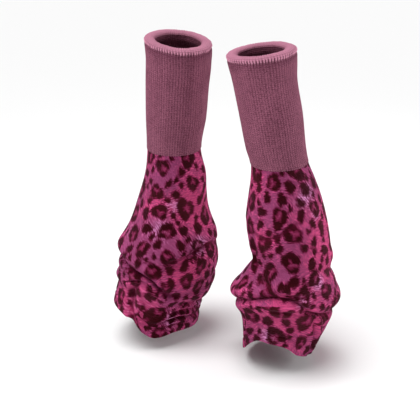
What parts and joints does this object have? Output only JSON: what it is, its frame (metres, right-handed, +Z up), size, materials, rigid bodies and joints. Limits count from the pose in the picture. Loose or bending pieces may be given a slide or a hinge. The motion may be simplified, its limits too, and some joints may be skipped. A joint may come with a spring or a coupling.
{
  "type": "pair of leg warmers",
  "caption": "Pair of slouch leg warmers held in their worn form: a rib-knit cuff with a rolled top edge on each, over a flared printed plush leg that slouches in soft folds at the ankle and arches over the instep.",
  "frame": {"origin": "midway between the wearer's two calves, at the middle of the rib cuffs, where the pair is held", "axes": "+Z up along the legs, -Y the way the wearer's toes point, +X the wearer's left"},
  "size_m": [0.3604, 0.1757, 0.4705],
  "materials": {
    "rib_knit": "matte dusty-rose rib knit",
    "leopard_plush": "short-pile plush, pink and purple with dark leopard spots"
  },
  "bodies": {
    "root": {"right_rib_cuff": "rib_knit", "right_plush_leg": "leopard_plush", "left_rib_cuff": "rib_knit", "left_plush_leg": "leopard_plush"}
  },
  "joints": []
}
